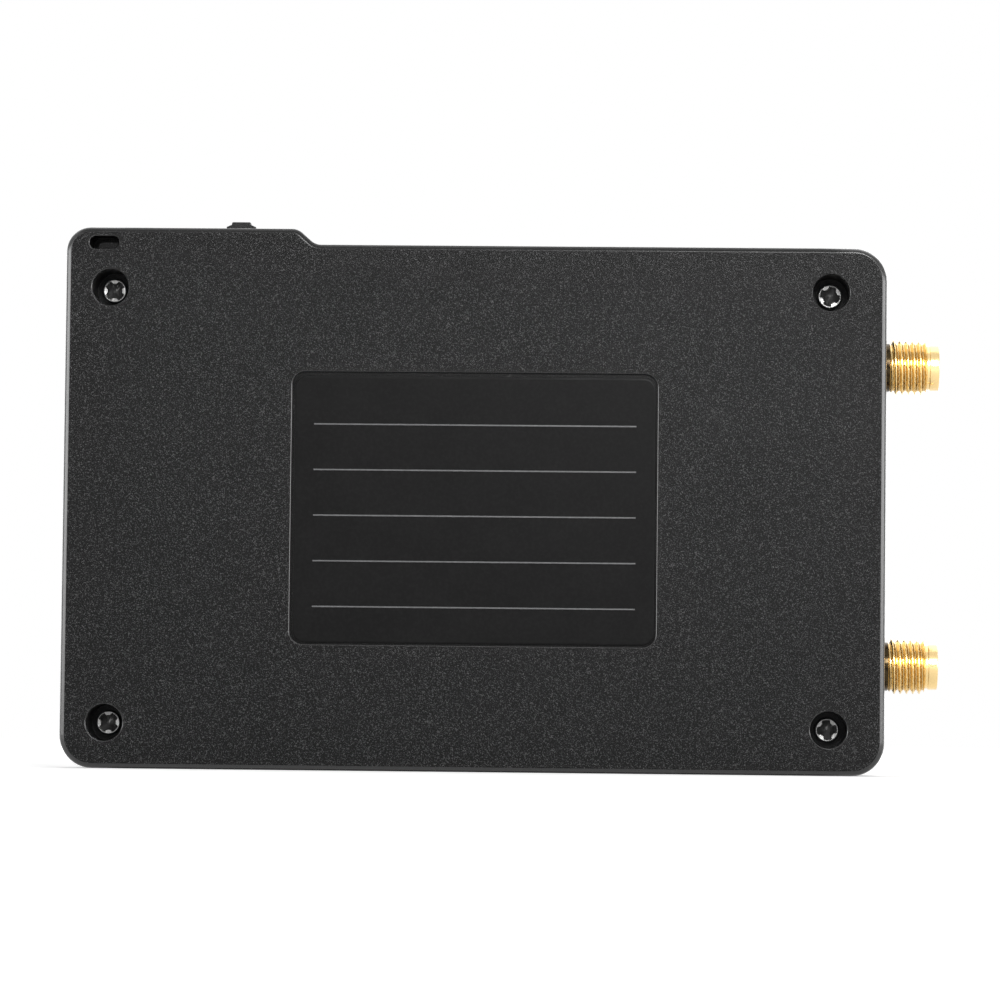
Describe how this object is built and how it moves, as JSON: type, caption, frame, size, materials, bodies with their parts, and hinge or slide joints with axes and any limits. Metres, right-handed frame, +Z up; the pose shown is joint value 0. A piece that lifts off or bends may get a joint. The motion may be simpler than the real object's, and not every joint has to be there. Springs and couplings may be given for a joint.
{
  "type": "antenna analyzer",
  "caption": "Pocket network analyzer in a flat two-shell case: recessed screws and label at the back, touch screen in front, two threaded coaxial ports, jog lever and power switch.",
  "frame": {"origin": "centre of the case's long bottom edge face, midway between back and front", "axes": "+X across the case towards the two ports, +Y from the back cover through to the screen, +Z up to the shoulder with the jog lever"},
  "size_m": [0.099, 0.0186, 0.0629],
  "materials": {
    "case_plastic": "fine spark-eroded grain",
    "label_film": "smooth satin",
    "screw_steel": "zinc plated",
    "port_gold": "gold plated",
    "insulator_white": "waxy",
    "switch_black": "smooth",
    "spring_steel": "bright",
    "board_mask": "satin",
    "chip_black": "moulded",
    "component_tan": "ceramic",
    "component_metal": "tinned",
    "ferrite_grey": "sintered",
    "diode_white": "moulded",
    "screen_glass": "polished",
    "panel_glass": "polished",
    "backlight_frame": "smooth",
    "flex_film": "film",
    "foam_black": "foam tape",
    "pouch_foil": "crimped foil",
    "connector_white": "moulded",
    "lead_red": "insulation",
    "lead_black": "insulation"
  },
  "bodies": {
    "case": {"back_cover": "case_plastic", "front_cover": "case_plastic", "back_label": "label_film", "cover_screws": "screw_steel", "screen_gasket": "foam_black", "touch_panel": "screen_glass", "lcd_glass": "panel_glass", "lcd_backlight": "backlight_frame", "lcd_flex": "flex_film", "circuit_board": "board_mask", "microcontroller": "chip_black", "microcontroller_crystal": "component_metal", "clock_generator": "chip_black", "clock_oscillator": "component_metal", "audio_codec": "chip_black", "mixer_chips": "chip_black", "shield_reflection": "component_metal", "shield_reference": "component_metal", "shield_through": "component_metal", "charger_chip": "chip_black", "boost_inductor": "ferrite_grey", "voltage_regulators": "chip_black", "small_capacitors": "component_tan", "status_leds": "diode_white", "usb_shell": "component_metal", "usb_tongue": "switch_black", "battery_cell": "pouch_foil", "battery_protection_board": "board_mask", "battery_tape": "foam_black", "battery_socket": "connector_white", "battery_plug": "connector_white", "battery_lead_positive": "lead_red", "battery_lead_negative": "lead_black", "jog_housing": "switch_black", "jog_cover_plate": "component_metal", "jog_dome": "spring_steel", "power_switch_housing": "component_metal", "port_0_body": "port_gold", "port_0_insulator": "insulator_white", "port_0_contact": "port_gold", "port_1_body": "port_gold", "port_1_insulator": "insulator_white", "port_1_contact": "port_gold"},
    "jog_slider": {"jog_carrier": "switch_black", "jog_pivot_pin": "spring_steel"},
    "jog_lever": {"jog_lever": "switch_black"},
    "power_knob": {"power_switch_knob": "switch_black"}
  },
  "joints": [
    {"name": "jog_push", "type": "slide", "parent": "case", "child": "jog_slider", "axis": [0, 0, -1], "range_m": [0, 0.0004], "stiffness_N_per_m": 60},
    {"name": "jog_rock", "type": "hinge", "parent": "jog_slider", "child": "jog_lever", "pos_m": [-0.0274, 0.00165, 0.0564], "axis": [0, 1, 0], "range_deg": [-12, 12], "stiffness_Nm_per_rad": 0.002},
    {"name": "power_slide", "type": "slide", "parent": "case", "child": "power_knob", "axis": [1, 0, 0], "range_m": [0, 0.0016]}
  ]
}
